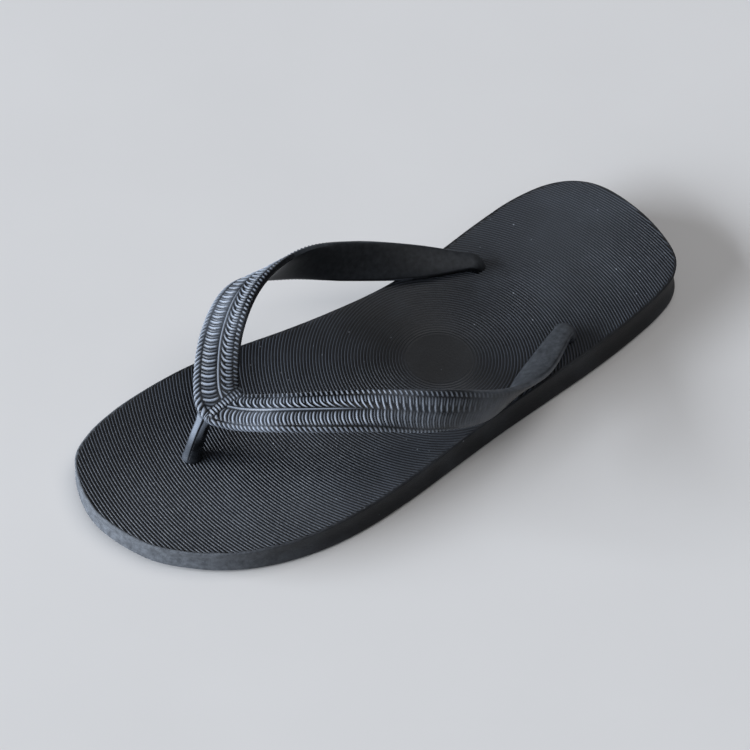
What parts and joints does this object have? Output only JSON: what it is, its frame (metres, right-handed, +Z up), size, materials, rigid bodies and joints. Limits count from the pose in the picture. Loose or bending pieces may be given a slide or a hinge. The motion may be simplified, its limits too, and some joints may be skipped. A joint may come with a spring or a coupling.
{
  "type": "thong sandal",
  "caption": "Flat rubber thong sandal for the left foot: a slab sole with a finely ribbed footbed, and a moulded strap with a toe post and plug ends.",
  "frame": {"origin": "on the floor, under the middle of the sandal's box", "axes": "+X from heel to toe, +Y to the wearer's left (the outer side of this left sandal), +Z up"},
  "size_m": [0.2716, 0.1048, 0.0497],
  "materials": {
    "sole_rubber": "matt moulded",
    "strap_rubber": "satin moulded"
  },
  "bodies": {
    "root": {"sole": "sole_rubber", "strap": "strap_rubber"}
  },
  "joints": []
}
